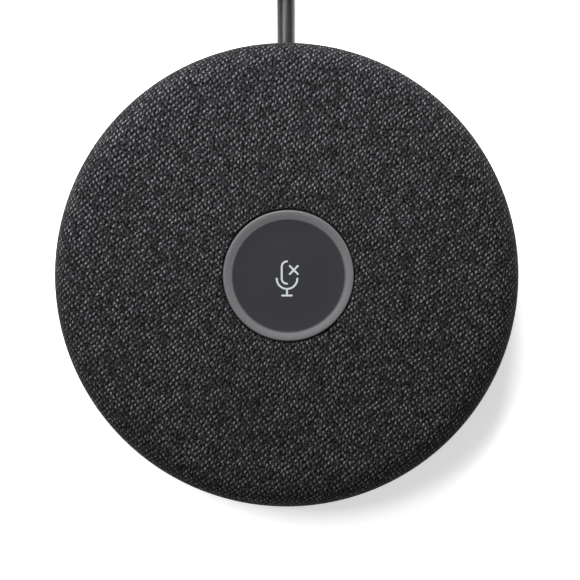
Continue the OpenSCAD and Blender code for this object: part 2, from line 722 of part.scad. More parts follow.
module plug_nose() color("#c3c6c9") plug_turned() difference() {
  union() {
    translate([0, 0, relief_l + barrel_l - 1]) cylinder(r = root_r, h = 1 + sleeve_l);
    translate([0, 0, relief_l + barrel_l]) cylinder(r = nose_r, h = sleeve_l + nose_l);
  }
  translate([0, 0, relief_l + barrel_l - 2]) cylinder(r = nose_r - 0.6, h = 3 + sleeve_l + nose_l);
}

module plug_insert() color("#17171a") plug_turned() difference() {
  translate([0, 0, relief_l + barrel_l - 1]) cylinder(r = nose_r - 0.6, h = sleeve_l + nose_l + 0.2);
  contact_places() cylinder(r = contact_r, h = 100, $fn = 24);
}

// Three contacts in the middle and nine round them
module contact_places() {
  around([0, 120, 240], 1.05) translate([0, 0, relief_l + barrel_l + sleeve_l]) children();
  around([for (i = [0:8]) 40 * i + 20], nose_r - 1.6)
    translate([0, 0, relief_l + barrel_l + sleeve_l]) children();
}

module plug_contacts() color("#d8b35a") plug_turned() contact_places() difference() {
  cylinder(r = contact_r, h = nose_l - 1.2, $fn = 24);
  translate([0, 0, 1]) cylinder(r = contact_r - 0.15, h = nose_l, $fn = 24);
}

foot_ring();
base_shell();
base_screws();
ballast_plate();
ballast_screws();
main_board();
board_screws();
shield_can();
processor_chips();
capacitors();
board_headers();
mic_boards();
microphones();
mic_gaskets();
mic_flexes();
key_board();
key_board_screws();
key_flex();
ring_leds();
light_baffle();
key_well();
switch_body();
switch_plunger();
key_dome();
key_carrier();
key_cap();
light_ring();
mute_icon();
top_shell();
fabric_cover();
hem_ring();
cable_gland();
cable_clamp();
clamp_screws();
inner_cable();
harness_wires();
harness_plug();
cable_lead();
cable_coil();
cable_tail();
cable_ties();
plug_relief();
plug_barrel();
plug_nose();
release_ring();
plug_insert();
plug_contacts();
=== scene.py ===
"""Looks of the conference table microphone pod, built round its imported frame.

A woven cover over a round shell, a satin mute key in a frosted light ring, and a captive cable, wound
for storage, that ends in a round push-pull plug. Sizes are in millimetres until MM turns them to metres.
"""
import json
import math

import bpy
from mathutils import Matrix, Vector


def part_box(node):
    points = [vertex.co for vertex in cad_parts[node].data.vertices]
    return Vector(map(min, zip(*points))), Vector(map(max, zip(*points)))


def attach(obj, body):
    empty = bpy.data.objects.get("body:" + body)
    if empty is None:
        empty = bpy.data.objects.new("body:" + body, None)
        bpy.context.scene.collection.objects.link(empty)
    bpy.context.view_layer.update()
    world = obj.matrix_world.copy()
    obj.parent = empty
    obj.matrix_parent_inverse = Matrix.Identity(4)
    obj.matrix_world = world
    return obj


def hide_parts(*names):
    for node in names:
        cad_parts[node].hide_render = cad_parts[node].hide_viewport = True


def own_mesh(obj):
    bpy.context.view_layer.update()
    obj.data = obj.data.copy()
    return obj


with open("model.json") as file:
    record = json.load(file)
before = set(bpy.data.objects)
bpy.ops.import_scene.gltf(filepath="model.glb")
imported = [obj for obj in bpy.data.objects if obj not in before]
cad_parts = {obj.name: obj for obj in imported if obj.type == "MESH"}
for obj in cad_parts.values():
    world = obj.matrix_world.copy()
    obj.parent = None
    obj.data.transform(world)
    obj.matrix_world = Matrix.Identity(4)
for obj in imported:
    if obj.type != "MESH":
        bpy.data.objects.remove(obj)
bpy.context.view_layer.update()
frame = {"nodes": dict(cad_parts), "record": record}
bpy.ops.object.select_all(action="DESELECT")

MM = 0.001
SMOOTH = math.radians(32)    # edges sharper than this stay sharp


def span(node):
    """Lowest and highest corner of a CAD node, in millimetres."""
    low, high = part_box(node)
    return low / MM, high / MM


# Pod: what the frame gives, and the shape values that its boxes don't hold
cover_low, cover_high = span("fabric_cover")
ring_low, ring_high = span("light_ring")
disc_low, disc_high = span("key_cap")
well_high = span("key_well")[1]
foot_high = span("foot_ring")[1]
POD_R = cover_high.x
RING_R = ring_high.x
DISC_R = disc_high.x
RING_TOP = ring_high.z
CLOTH_T = 0.7
EDGE_R = 6.2                 # rounded rim
EDGE_Z = 12.2                # height of its widest point
RING_GAP = 0.28              # shadow gap round the light ring
CROWN = 0.1                  # cloth's crown under the top of the light ring
ROLL = 0.45                  # how the cloth rolls into the key's gap
HEM_IN = 4.2                 # turned hem, inwards from the outline
FOOT_W = 9.8
DISH = 0.15                  # how far the disc sinks to its flat middle
DISH_W = 4.5                 # width of the slope down to it
DISH_STEPS = 9

# Cable, coil and plug
coil_low, coil_high = span("cable_coil")
CORD_D = 3.9
CORD_R = CORD_D / 2
CORD_Z = 4.35                # height of the cable where it leaves the pod
EXIT_Y = 50
COIL_TURNS = 18.75
COIL_LAYERS = 4
LAYER_TURNS = COIL_TURNS / COIL_LAYERS
COIL_C = (coil_low + coil_high) / 2
COIL_OUT = (coil_high.x - coil_low.x) / 2 - CORD_R
COIL_IN = COIL_OUT - LAYER_TURNS * CORD_D
STRAP_T = coil_low.z
STRAP_W = 9
STRAP_ANGLES = (105, 225)
barrel_low, barrel_high = span("plug_barrel")
relief_low, relief_high = span("plug_relief")
collar_low, collar_high = span("release_ring")
nose_high = span("plug_nose")[1]
PLUG_R = (barrel_high.x - barrel_low.x) / 2
PLUG_X = (barrel_high.x + barrel_low.x) / 2
PLUG_Z = (barrel_high.z + barrel_low.z) / 2
PLUG_Y = relief_low.y        # end of the cable, where the plug's own lengths start
RELIEF_L = relief_high.y - PLUG_Y
SLEEVE_L = 9
BARREL_L = barrel_high.y - relief_high.y - SLEEVE_L
NOSE_R = 4.5
ROOT_R = NOSE_R + 0.2
SLEEVE_R = ROOT_R + 0.5


# ---------------------------------------------------------------- camera and cable

def looking(eye, target, top):
    """Matrix of a camera at eye that looks at target, with top upwards in its picture."""
    back = (eye - target).normalized()
    right = top.cross(back).normalized()
    turn = Matrix((right, back.cross(right), back)).transposed().to_4x4()
    return Matrix.Translation(eye * MM) @ turn


CAMERA_AT = Vector((-19.2, 10, 600))
CAMERA_TO = Vector((0.62, -3.3, 12))
CAMERA_LENS = 166            # long, so the pod's outline shows almost without perspective


def make_camera():
    """Straight over the pod and a little to its left, the cable at the top of the picture."""
    camera = bpy.data.objects.new("camera", bpy.data.cameras.new("camera"))
    bpy.context.scene.collection.objects.link(camera)
    camera.data.sensor_width = 36
    camera.data.lens = CAMERA_LENS
    camera.data.clip_start = 0.05
    camera.matrix_world = looking(CAMERA_AT, CAMERA_TO, Vector((0, 1, 0)))
    bpy.context.scene.camera = camera


# The lead from the pod to the coil: across, along, and height over lying on the table
LEAD = [
    (0, 0, 2.4), (0, 4, 2.4), (0, 8, 2.25), (0, 12, 1.9), (0.3, 16, 1.5), (1.1, 20, 1.1), (2.3, 24, 0.7),
    (3.7, 28, 0.4), (5.1, 32, 0.2), (6.3, 36, 0.1), (7.2, 40, 0.2), (7.8, 44, 0.5), (8, 48, 0.75),
    (8, 50, 0.8),
]
# The tail from the coil to the plug: across, along, and share of the drop left
TAIL = [
    (0, 0, 1), (7, 0, 0.98), (14, 0.2, 0.92), (21.5, 0.7, 0.82), (28.5, 1.5, 0.68), (35, 2.5, 0.53),
    (41, 5, 0.38), (46, 9, 0.24), (50, 14, 0.12), (52.5, 20, 0.04), (53.5, 26.5, 0), (53.5, 29, 0),
]
TURN_POINTS = 16
CLIMB = 0.2                  # turns that the cable takes to climb to the next layer


def smooth(share):
    """Eases from 0 to 1 as share goes from 0 to 1."""
    share = min(1, max(0, share))
    return share * share * (3 - 2 * share)


def coil_point(turn):
    """A point of the coil: its layers run in and out by turns, each on top of the last."""
    layer = min(int(turn / LAYER_TURNS), COIL_LAYERS - 1)
    inwards = (turn - layer * LAYER_TURNS) * CORD_D
    radius = COIL_OUT - inwards if layer % 2 == 0 else COIL_IN + inwards
    climbed = sum(smooth((turn - k * LAYER_TURNS) / CLIMB + 0.5) for k in range(1, COIL_LAYERS))
    angle = turn * 2 * math.pi
    return (
        COIL_C.x + radius * math.cos(angle),
        COIL_C.y + radius * math.sin(angle),
        STRAP_T + CORD_R + CORD_D * climbed,
    )


def cable_line():
    """The cable's centreline: a start inside the gland, the lead, the coil and the tail."""
    lead = [(x, EXIT_Y + y, lift + CORD_R) for x, y, lift in LEAD]
    steps = round(COIL_TURNS * TURN_POINTS)
    coil = [coil_point(i / TURN_POINTS) for i in range(1, steps)]
    top = coil_high.z - CORD_R
    tail = [(COIL_C.x + x, COIL_C.y - COIL_OUT + y, PLUG_Z + (top - PLUG_Z) * share) for x, y, share in TAIL]
    return [(0, EXIT_Y - 1, CORD_Z)] + lead + coil + tail


def line_length(points):
    return sum(math.dist(a, b) for a, b in zip(points, points[1:]))


def make_cable():
    """One smooth round curve along the whole centreline."""
    line = cable_line()
    curve = bpy.data.curves.new("cable", "CURVE")
    curve.dimensions = "3D"
    curve.bevel_depth = CORD_R * MM
    curve.bevel_resolution = 5
    curve.resolution_u = 4
    curve.use_fill_caps = True
    spline = curve.splines.new("BEZIER")
    spline.bezier_points.add(len(line) - 1)
    for knot, place in zip(spline.bezier_points, line):
        knot.co = Vector(place) * MM
        knot.handle_left_type = knot.handle_right_type = "AUTO"
    cable = bpy.data.objects.new("cable", curve)
    bpy.context.scene.collection.objects.link(cable)
    return cable, line_length(line) * MM


make_camera()
cable, cable_length = make_cable()


# ---------------------------------------------------------------- finishes

def linear(colour, share=1.0):
    """sRGB hex to linear RGBA, brightened by share."""
    parts = [int(colour[i:i + 2], 16) / 255 for i in (1, 3, 5)]
    return tuple(share * (c / 12.92 if c <= 0.04045 else ((c + 0.055) / 1.055) ** 2.4) for c in parts) + (1,)


def add_node(tree, kind, inputs=None, **settings):
    """A shader node with its settings, and each input linked if it is given a socket."""
    new = tree.nodes.new(kind)
    for name, value in settings.items():
        setattr(new, name, value)
    for name, value in (inputs or {}).items():
        if isinstance(value, bpy.types.NodeSocket):
            tree.links.new(value, new.inputs[name])
        else:
            new.inputs[name].default_value = value
    return new


def blank(name, sockets):
    """A new material with its shader's own sockets set, and the place that its patterns read."""
    material = bpy.data.materials.new(name)
    material.use_nodes = True
    tree = material.node_tree
    shader = tree.nodes["Principled BSDF"]
    for socket, value in sockets.items():
        shader.inputs[socket].default_value = value
    place = add_node(tree, "ShaderNodeTexCoord").outputs["Object"]
    return material, tree, shader, place


def moulded(name, colour, roughness, grain, depth, clouds=0.12, sockets=None):
    """Moulded, cast or blasted surface: one colour with faint clouds, and a fine grain in its gloss."""
    material, tree, shader, place = blank(name, {"Roughness": roughness, **(sockets or {})})
    cloud = add_node(tree, "ShaderNodeTexNoise", {"Vector": place, "Scale": 1 / (7 * MM), "Detail": 3})
    tone = add_node(tree, "ShaderNodeMix", {
        0: cloud.outputs["Fac"], 6: linear(colour, 1 - clouds), 7: linear(colour, 1 + clouds),
    }, data_type="RGBA")
    tree.links.new(tone.outputs[2], shader.inputs["Base Color"])
    pits = add_node(tree, "ShaderNodeTexNoise", {
        "Vector": place, "Scale": 1 / (grain * MM), "Detail": 2, "Roughness": 0.6,
    })
    gloss = add_node(tree, "ShaderNodeMapRange", {
        "Value": pits.outputs["Fac"], "From Min": 0.3, "From Max": 0.7,
        "To Min": roughness - 0.07, "To Max": min(1, roughness + 0.07),
    })
    tree.links.new(gloss.outputs["Result"], shader.inputs["Roughness"])
    bump = add_node(tree, "ShaderNodeBump", {
        "Height": pits.outputs["Fac"], "Distance": depth * MM, "Strength": 0.6,
    })
    tree.links.new(bump.outputs["Normal"], shader.inputs["Normal"])
    return material


def metal(name, colour, roughness, streak, along, depth=0.004):
    """Metal with the marks of how it was made: streak is their width, and along how they are drawn out."""
    material, tree, shader, place = blank(name, {"Metallic": 1.0, "Roughness": roughness})
    drawn = add_node(tree, "ShaderNodeMapping", {"Vector": place, "Scale": along})
    marks = add_node(tree, "ShaderNodeTexNoise", {
        "Vector": drawn.outputs["Vector"], "Scale": 1 / (streak * MM), "Detail": 3, "Roughness": 0.65,
    })
    tarnish = add_node(tree, "ShaderNodeTexNoise", {"Vector": place, "Scale": 1 / (4 * MM), "Detail": 4})
    tone = add_node(tree, "ShaderNodeMix", {
        0: tarnish.outputs["Fac"], 6: linear(colour, 0.86), 7: linear(colour, 1.08),
    }, data_type="RGBA")
    tree.links.new(tone.outputs[2], shader.inputs["Base Color"])
    gloss = add_node(tree, "ShaderNodeMapRange", {
        "Value": marks.outputs["Fac"], "From Min": 0.3, "From Max": 0.7,
        "To Min": roughness * 0.88, "To Max": roughness * 1.14,
    })
    tree.links.new(gloss.outputs["Result"], shader.inputs["Roughness"])
    bump = add_node(tree, "ShaderNodeBump", {
        "Height": marks.outputs["Fac"], "Distance": depth * MM, "Strength": 0.5,
    })
    tree.links.new(bump.outputs["Normal"], shader.inputs["Normal"])
    return material


EVEN = (1, 1, 1)
ALONG_X = (0.03, 1, 1)       # rolled or brushed along X
ALONG_Z = (1, 1, 0.05)       # drawn along Z
ROUND_PLUG = (0.04, 1, 0.04)  # turned about the plug's axis, so the marks run round it

# Fleck places of the weave: two steps between neighbouring flecks, in millimetres
STEP_A = Vector((0.80, 0.61))
STEP_B = Vector((0.58, -0.85))
FLECK_L = 0.4                # half length and half width of a fleck
FLECK_W = 0.21
FLECK_TURN = math.radians(69)
FLECK_SPREAD = math.radians(44)
FLECK_JITTER = 0.31          # how far flecks stray from their rows, as a share of a step
FIBRE_W = 0.26               # fibres that break up a fleck's colour
CLOUD_W = 3                  # cloudiness of the melange


def melange_cloth():
    """Charcoal melange weave: light yarn floats over dark ones in slanting rows, each a different grey."""
    material, tree, shader, _ = blank("melange_polyester_weave", {
        "Roughness": 0.95, "Specular IOR Level": 0.05, "Sheen Weight": 0.02, "Sheen Roughness": 0.5,
    })
    flat = add_node(tree, "ShaderNodeUVMap", uv_map="weave").outputs["UV"]
    # the rows wander by about a tenth of a millimetre over 12 mm
    drift = add_node(tree, "ShaderNodeTexNoise", {"Vector": flat, "Scale": 1 / 12, "Detail": 1},
                     noise_dimensions="2D")
    centred = add_node(tree, "ShaderNodeVectorMath", {0: drift.outputs["Color"], 1: (0.5, 0.5, 0.5)},
                       operation="SUBTRACT")
    wavy = add_node(tree, "ShaderNodeVectorMath", {0: centred.outputs[0], 1: (0.4, 0.4, 0), 2: flat},
                    operation="MULTIPLY_ADD")
    area = STEP_A.x * STEP_B.y - STEP_B.x * STEP_A.y
    count_a = add_node(tree, "ShaderNodeVectorMath", {
        0: wavy.outputs[0], 1: (STEP_B.y / area, -STEP_B.x / area, 0)}, operation="DOT_PRODUCT")
    count_b = add_node(tree, "ShaderNodeVectorMath", {
        0: wavy.outputs[0], 1: (-STEP_A.y / area, STEP_A.x / area, 0)}, operation="DOT_PRODUCT")
    cell = add_node(tree, "ShaderNodeCombineXYZ", {0: count_a.outputs["Value"], 1: count_b.outputs["Value"]})
    floats = add_node(tree, "ShaderNodeTexVoronoi", {
        "Vector": cell.outputs[0], "Scale": 1, "Randomness": FLECK_JITTER,
    }, voronoi_dimensions="2D", feature="F1")
    chance = add_node(tree, "ShaderNodeSeparateColor", {0: floats.outputs["Color"]})
    off = add_node(tree, "ShaderNodeVectorMath", {0: cell.outputs[0], 1: floats.outputs["Position"]},
                   operation="SUBTRACT")
    off_x = add_node(tree, "ShaderNodeVectorMath", {0: off.outputs[0], 1: (STEP_A.x, STEP_B.x, 0)},
                     operation="DOT_PRODUCT")
    off_y = add_node(tree, "ShaderNodeVectorMath", {0: off.outputs[0], 1: (STEP_A.y, STEP_B.y, 0)},
                     operation="DOT_PRODUCT")
    away = add_node(tree, "ShaderNodeCombineXYZ", {0: off_x.outputs["Value"], 1: off_y.outputs["Value"]})
    turn = add_node(tree, "ShaderNodeMapRange", {
        "Value": chance.outputs[1], "To Min": -FLECK_TURN - FLECK_SPREAD / 2,
        "To Max": -FLECK_TURN + FLECK_SPREAD / 2,
    })
    lined = add_node(tree, "ShaderNodeVectorRotate", {"Vector": away.outputs[0], "Angle": turn.outputs[0]},
                     rotation_type="Z_AXIS")
    scaled = add_node(tree, "ShaderNodeVectorMath", {0: lined.outputs[0], 1: (1 / FLECK_L, 1 / FLECK_W, 1)},
                      operation="MULTIPLY")
    reach = add_node(tree, "ShaderNodeVectorMath", {0: scaled.outputs[0]}, operation="LENGTH")
    float_shape = add_node(tree, "ShaderNodeMapRange", {
        "Value": reach.outputs["Value"], "From Min": 1.25, "From Max": 0.35, "To Min": 0.0, "To Max": 1.0,
    }, interpolation_type="SMOOTHSTEP")
    # each float's own grey, over a ground of darker yarn that shows only in part between the floats
    grey = add_node(tree, "ShaderNodeMapRange", {"Value": chance.outputs[0], "To Min": 0.08, "To Max": 1.04})
    fibres = add_node(tree, "ShaderNodeTexNoise", {"Vector": flat, "Scale": 1 / FIBRE_W, "Detail": 2},
                      noise_dimensions="2D")
    fuzz = add_node(tree, "ShaderNodeMapRange", {
        "Value": fibres.outputs["Fac"], "From Min": 0.3, "From Max": 0.7, "To Min": 0.25, "To Max": 1.45,
    })
    under = add_node(tree, "ShaderNodeTexNoise", {"Vector": flat, "Scale": 1 / 0.55, "Detail": 1},
                     noise_dimensions="2D")
    ground = add_node(tree, "ShaderNodeMapRange", {
        "Value": under.outputs["Fac"], "From Min": 0.4, "From Max": 0.72, "To Min": 0.0, "To Max": 0.16,
    })
    lit = add_node(tree, "ShaderNodeMath", {
        0: float_shape.outputs[0], 1: grey.outputs[0], 2: ground.outputs[0],
    }, operation="MULTIPLY_ADD")
    yarn = add_node(tree, "ShaderNodeMath", {0: lit.outputs[0], 1: fuzz.outputs[0]}, operation="MULTIPLY")
    tone = add_node(tree, "ShaderNodeMix", {
        0: yarn.outputs[0], 6: linear("#050506"), 7: linear("#656568"),
    }, data_type="RGBA")
    cloud = add_node(tree, "ShaderNodeTexNoise", {"Vector": flat, "Scale": 1 / CLOUD_W, "Detail": 3},
                     noise_dimensions="2D")
    shade = add_node(tree, "ShaderNodeMapRange", {
        "Value": cloud.outputs["Fac"], "From Min": 0.3, "From Max": 0.7, "To Min": 0.76, "To Max": 1.26,
    })
    cloth = add_node(tree, "ShaderNodeVectorMath", {0: tone.outputs[2], "Scale": shade.outputs[0]},
                     operation="SCALE")
    tree.links.new(cloth.outputs[0], shader.inputs["Base Color"])
    raised = add_node(tree, "ShaderNodeMath", {0: float_shape.outputs[0], 1: fuzz.outputs[0]},
                      operation="MULTIPLY")
    bump = add_node(tree, "ShaderNodeBump", {
        "Height": raised.outputs[0], "Distance": 0.14 * MM, "Strength": 0.55,
    })
    tree.links.new(bump.outputs["Normal"], shader.inputs["Normal"])
    return material


RING_GREY = "#48484a"
FADE = 0.5                   # width of the printed fade at the disc's edge


def key_satin():
    """Satin coated polycarbonate disc: near black, its print fading out to the frosted edge."""
    material, tree, shader, place = blank("satin_coated_polycarbonate", {
        "Roughness": 0.5, "Specular IOR Level": 0.22,
    })
    level = add_node(tree, "ShaderNodeVectorMath", {0: place, 1: (1, 1, 0)}, operation="MULTIPLY")
    radius = add_node(tree, "ShaderNodeVectorMath", {0: level.outputs[0]}, operation="LENGTH")
    fade = add_node(tree, "ShaderNodeMapRange", {
        "Value": radius.outputs["Value"], "From Min": (DISC_R - FADE) * MM, "From Max": DISC_R * MM,
    }, interpolation_type="SMOOTHSTEP")
    specks = add_node(tree, "ShaderNodeTexNoise", {"Vector": place, "Scale": 1 / (0.25 * MM), "Detail": 2})
    print_tone = add_node(tree, "ShaderNodeMix", {
        0: specks.outputs["Fac"], 6: linear("#161619"), 7: linear("#1e1e21"),
    }, data_type="RGBA")
    tone = add_node(tree, "ShaderNodeMix", {
        0: fade.outputs[0], 6: print_tone.outputs[2], 7: linear(RING_GREY),
    }, data_type="RGBA")
    tree.links.new(tone.outputs[2], shader.inputs["Base Color"])
    bump = add_node(tree, "ShaderNodeBump", {
        "Height": specks.outputs["Fac"], "Distance": 0.006 * MM, "Strength": 0.5,
    })
    tree.links.new(bump.outputs["Normal"], shader.inputs["Normal"])
    return material


def ring_frosted():
    """Bead-blasted translucent polycarbonate: a milky grey with a fine sandy grain, unlit."""
    material, tree, shader, place = blank("frosted_polycarbonate", {
        "Roughness": 0.58, "Specular IOR Level": 0.4, "Subsurface Weight": 0.15, "Subsurface Scale": 0.4 * MM,
    })
    sand = add_node(tree, "ShaderNodeTexNoise", {"Vector": place, "Scale": 1 / (0.22 * MM), "Detail": 3})
    tone = add_node(tree, "ShaderNodeMix", {
        0: sand.outputs["Fac"], 6: linear(RING_GREY, 0.8), 7: linear(RING_GREY, 1.2),
    }, data_type="RGBA")
    tree.links.new(tone.outputs[2], shader.inputs["Base Color"])
    bump = add_node(tree, "ShaderNodeBump", {
        "Height": sand.outputs["Fac"], "Distance": 0.012 * MM, "Strength": 0.6,
    })
    tree.links.new(bump.outputs["Normal"], shader.inputs["Normal"])
    return material


def printed_board():
    """Green solder mask over copper: lighter where tracks run under it, with the glass weave just showing."""
    material, tree, shader, place = blank("solder_mask_on_glass_epoxy", {
        "Roughness": 0.3, "Coat Weight": 0.3, "Coat Roughness": 0.2,
    })
    tracks = add_node(tree, "ShaderNodeTexBrick", {
        "Vector": place, "Color1": linear("#1f5c3c"), "Color2": linear("#236644"),
        "Mortar": linear("#2f7d54"), "Scale": 1 / (4 * MM),
        "Mortar Size": 0.05, "Brick Width": 1.4, "Row Height": 0.35,
    }, offset=0.37)
    glass = add_node(tree, "ShaderNodeTexChecker", {
        "Vector": place, "Color1": (1, 1, 1, 1), "Color2": (0.86, 0.86, 0.86, 1), "Scale": 1 / (0.5 * MM),
    })
    tone = add_node(tree, "ShaderNodeMix", {
        0: 1.0, 6: tracks.outputs["Color"], 7: glass.outputs["Color"],
    }, data_type="RGBA", blend_type="MULTIPLY")
    tree.links.new(tone.outputs[2], shader.inputs["Base Color"])
    bump = add_node(tree, "ShaderNodeBump", {
        "Height": tracks.outputs["Fac"], "Distance": 0.03 * MM, "Strength": 0.5,
    })
    tree.links.new(bump.outputs["Normal"], shader.inputs["Normal"])
    return material


def flat_lead_film():
    """Polyimide film: glossy amber with the darker copper lines showing through it."""
    material, tree, shader, place = blank("polyimide_film", {"Roughness": 0.28, "Coat Weight": 0.2})
    lines = add_node(tree, "ShaderNodeTexWave", {
        "Vector": place, "Scale": 1 / (3.2 * MM), "Distortion": 0.4, "Detail": 1,
    }, bands_direction="X")
    tone = add_node(tree, "ShaderNodeMix", {
        0: lines.outputs["Fac"], 6: linear("#9a5a1f"), 7: linear("#c98b35"),
    }, data_type="RGBA")
    tree.links.new(tone.outputs[2], shader.inputs["Base Color"])
    return material


CORE_PITCH = 1.6
CORE_COLOURS = ("#a82f2f", "#dadada", "#305f9c", "#2f7a3f", "#c39c27", "#202020")


def core_insulation():
    """Six PVC covered cores, each in its own colour across the bundle."""
    material, tree, shader, place = blank("coloured_pvc_insulation", {"Roughness": 0.42})
    parts = add_node(tree, "ShaderNodeSeparateXYZ", {0: place})
    colour = linear(CORE_COLOURS[0])
    for i, next_colour in enumerate(CORE_COLOURS[1:]):
        past = add_node(tree, "ShaderNodeMath", {0: parts.outputs["X"], 1: (i - 2) * CORE_PITCH * MM},
                        operation="GREATER_THAN")
        step = add_node(tree, "ShaderNodeMix", {0: past.outputs[0], 6: colour, 7: linear(next_colour)},
                        data_type="RGBA")
        colour = step.outputs[2]
    tree.links.new(colour, shader.inputs["Base Color"])
    return material


def cable_jacket():
    """Extruded thermoplastic jacket: charcoal, with one broad soft highlight and faint drag marks."""
    material, tree, shader, place = blank("extruded_tpe_jacket", {
        "Roughness": 0.4, "Specular IOR Level": 0.62,
    })
    drag = add_node(tree, "ShaderNodeTexNoise", {"Vector": place, "Scale": 1 / (1.2 * MM), "Detail": 4})
    tone = add_node(tree, "ShaderNodeMix", {
        0: drag.outputs["Fac"], 6: linear("#131316"), 7: linear("#1a1a1d"),
    }, data_type="RGBA")
    tree.links.new(tone.outputs[2], shader.inputs["Base Color"])
    gloss = add_node(tree, "ShaderNodeMapRange", {
        "Value": drag.outputs["Fac"], "From Min": 0.3, "From Max": 0.7, "To Min": 0.36, "To Max": 0.44,
    })
    tree.links.new(gloss.outputs["Result"], shader.inputs["Roughness"])
    bump = add_node(tree, "ShaderNodeBump", {
        "Height": drag.outputs["Fac"], "Distance": 0.02 * MM, "Strength": 0.4,
    })
    tree.links.new(bump.outputs["Normal"], shader.inputs["Normal"])
    return material


def strap_tape():
    """Hook-and-loop tape: black nylon loops in a dense, slightly dusty pile."""
    material, tree, shader, place = blank("hook_and_loop_nylon", {
        "Roughness": 0.95, "Specular IOR Level": 0.2, "Sheen Weight": 0.15, "Sheen Roughness": 0.4,
    })
    # loops about a third of a millimetre across
    loops = add_node(tree, "ShaderNodeTexNoise", {
        "Vector": place, "Scale": 1 / (0.38 * MM), "Detail": 3, "Roughness": 0.7,
    })
    tone = add_node(tree, "ShaderNodeMix", {
        0: loops.outputs["Fac"], 6: linear("#09090a"), 7: linear("#2c2c2e"),
    }, data_type="RGBA")
    tree.links.new(tone.outputs[2], shader.inputs["Base Color"])
    bump = add_node(tree, "ShaderNodeBump", {
        "Height": loops.outputs["Fac"], "Distance": 0.35 * MM, "Strength": 0.9,
    })
    tree.links.new(bump.outputs["Normal"], shader.inputs["Normal"])
    return material


MILKY = {"Subsurface Weight": 0.3, "Subsurface Scale": 1 * MM}
FINISHES = {
    # matt, slightly dusty silicone that takes almost no highlight
    "silicone_rubber": moulded("matt_silicone_rubber", "#1c1c1d", 0.82, 0.3, 0.02),
    # spark-eroded ABS, so its gloss breaks into fine points
    "black_abs": moulded("sparked_abs", "#202021", 0.55, 0.28, 0.035),
    # bright zinc with the bluish cast of its passivation
    "zinc_screw_steel": metal("zinc_plated_steel", "#b9bec2", 0.32, 0.3, EVEN),
    # black oxide, which is a dark grey that still shines at its edges
    "black_screw_steel": metal("black_oxide_steel", "#3a3a3c", 0.42, 0.3, EVEN),
    # rolled plate, streaked along the rolling
    "ballast_steel": metal("rolled_zinced_steel", "#8d9094", 0.45, 0.25, ALONG_X, 0.01),
    "solder_mask_fr4": printed_board(),
    # dull hot-dipped tin with soft blotches
    "tinned_steel": metal("hot_dipped_tin", "#c4c7ca", 0.38, 0.8, EVEN, 0.006),
    # dark filled epoxy with a fine matt grain
    "chip_epoxy": moulded("filled_moulding_epoxy", "#1a1a1c", 0.62, 0.15, 0.01),
    # deep-drawn can, streaked upwards
    "capacitor_aluminium": metal("drawn_aluminium", "#a9adb2", 0.3, 0.2, ALONG_Z),
    # ivory nylon, faintly see-through at its edges
    "header_nylon": moulded("natural_nylon", "#e4dfd0", 0.5, 0.5, 0.01, 0.04, MILKY),
    # gold flash over the microphone's brass can
    "mic_can_brass": metal("gold_flashed_brass", "#c9b27a", 0.28, 0.3, EVEN),
    "polyimide_flex": flat_lead_film(),
    # lamp body of moulded white epoxy, faintly see-through
    "led_epoxy": moulded("white_lamp_epoxy", "#efece0", 0.35, 0.4, 0.004, 0.04, MILKY),
    # matt white reflector that spreads the lamps' light
    "reflector_white": moulded("white_polycarbonate", "#ededea", 0.6, 0.3, 0.01, 0.03),
    # nylon with glass in it, which leaves a dull, slightly rough skin
    "switch_plastic": moulded("glass_filled_nylon", "#2b2b2d", 0.58, 0.2, 0.02),
    # waxy grey acetal
    "plunger_pom": moulded("grey_acetal", "#97978f", 0.4, 0.4, 0.006, 0.05),
    # cloudy natural silicone that light goes through
    "dome_silicone": moulded("natural_silicone", "#d2d2cb", 0.55, 0.6, 0.008, 0.05, MILKY),
    # waxy white acetal
    "carrier_pom": moulded("white_acetal", "#e2e2dd", 0.4, 0.4, 0.006, 0.04),
    "key_satin": key_satin(),
    "ring_frosted": ring_frosted(),
    # second-shot light inlay, smooth and matt, so it looks pale and not bright
    "symbol_white": moulded("white_inlay_polycarbonate", "#939999", 0.5, 0.3, 0.003, 0.03),
    "melange_cloth": melange_cloth(),
    "cable_jacket": cable_jacket(),
    "core_insulation": core_insulation(),
    "strap_nylon": strap_tape(),
    # fine bead-blasted black anodising on the barrel
    "plug_black_metal": moulded("black_anodised_aluminium", "#2b2c2e", 0.38, 0.12, 0.01, 0.1,
                                {"Metallic": 0.6}),
    # satin nickel, with the lathe's marks round it
    "plug_nickel": metal("satin_nickel_plate", "#a8aaad", 0.3, 0.1, ROUND_PLUG, 0.003),
    "release_nickel": metal("turned_nickel_plate", "#8b8d90", 0.33, 0.1, ROUND_PLUG, 0.004),
    # the same kind of dull skin on the plug's insulator
    "insert_plastic": moulded("glass_filled_insulator", "#19191c", 0.6, 0.2, 0.01),
    # hard gold over nickel on turned pins
    "contact_gold": metal("hard_gold_plate", "#d8b35a", 0.22, 0.1, ROUND_PLUG),
}


# ---------------------------------------------------------------- workshop tools

def only(piece):
    """Makes piece the one that operators act on."""
    bpy.ops.object.select_all(action="DESELECT")
    piece.select_set(True)
    bpy.context.view_layer.objects.active = piece


def finish_mesh(piece):
    """Merges doubles, turns faces outwards and shades the round stretches smooth."""
    only(piece)
    bpy.ops.object.mode_set(mode="EDIT")
    bpy.ops.mesh.select_all(action="SELECT")
    bpy.ops.mesh.remove_doubles(threshold=1e-7)
    bpy.ops.mesh.normals_make_consistent(inside=False)
    bpy.ops.object.mode_set(mode="OBJECT")
    bpy.ops.object.shade_smooth_by_angle(angle=SMOOTH)


